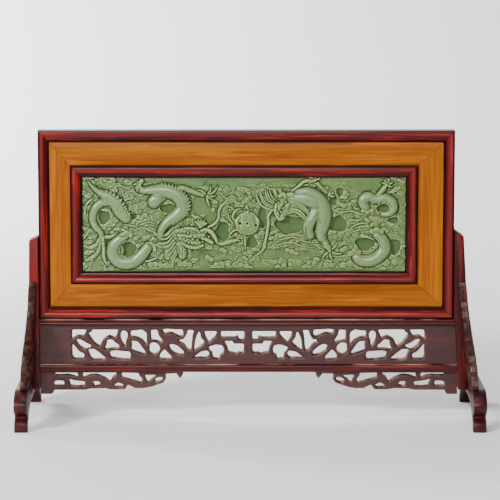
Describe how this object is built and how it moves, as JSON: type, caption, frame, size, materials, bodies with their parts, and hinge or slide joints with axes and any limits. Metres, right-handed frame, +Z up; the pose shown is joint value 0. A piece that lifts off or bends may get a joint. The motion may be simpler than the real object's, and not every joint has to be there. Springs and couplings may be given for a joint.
{
  "type": "stone table screen",
  "caption": "Framed stone relief panel with dragons, pearl and clouds, standing upright in a pierced hardwood stand with scrolled feet.",
  "frame": {"origin": "on the ground, at the middle of the object's base", "axes": "+X to the right along the panel, +Y towards the back, +Z up; the carved front faces -Y"},
  "size_m": [0.578, 0.217, 0.363],
  "materials": {
    "rosewood": "dark red lacquered rosewood, satin gloss",
    "pale_wood": "golden straight-grained wood, satin varnish",
    "board_wood": "plain red-brown wood, thinly varnished",
    "stand_lacquer": "dark red-brown lacquer with worn tan edges",
    "green_stone": "pale green serpentine, softly polished"
  },
  "bodies": {
    "root": {"outer_moulding_top": "rosewood", "outer_moulding_bottom": "rosewood", "outer_moulding_left": "rosewood", "outer_moulding_right": "rosewood", "mat_board_top": "pale_wood", "mat_board_bottom": "pale_wood", "mat_board_left": "pale_wood", "mat_board_right": "pale_wood", "inner_moulding_top": "rosewood", "inner_moulding_bottom": "rosewood", "inner_moulding_left": "rosewood", "inner_moulding_right": "rosewood", "stone_panel": "green_stone", "back_board": "board_wood", "upper_rail": "stand_lacquer", "pierced_board": "stand_lacquer", "lower_rail": "stand_lacquer", "corner_bracket_left": "stand_lacquer", "corner_bracket_right": "stand_lacquer", "post_left": "stand_lacquer", "post_right": "stand_lacquer", "foot_left": "stand_lacquer", "foot_right": "stand_lacquer", "spandrel_front_left": "stand_lacquer", "spandrel_front_right": "stand_lacquer", "spandrel_rear_left": "stand_lacquer", "spandrel_rear_right": "stand_lacquer"}
  },
  "joints": []
}
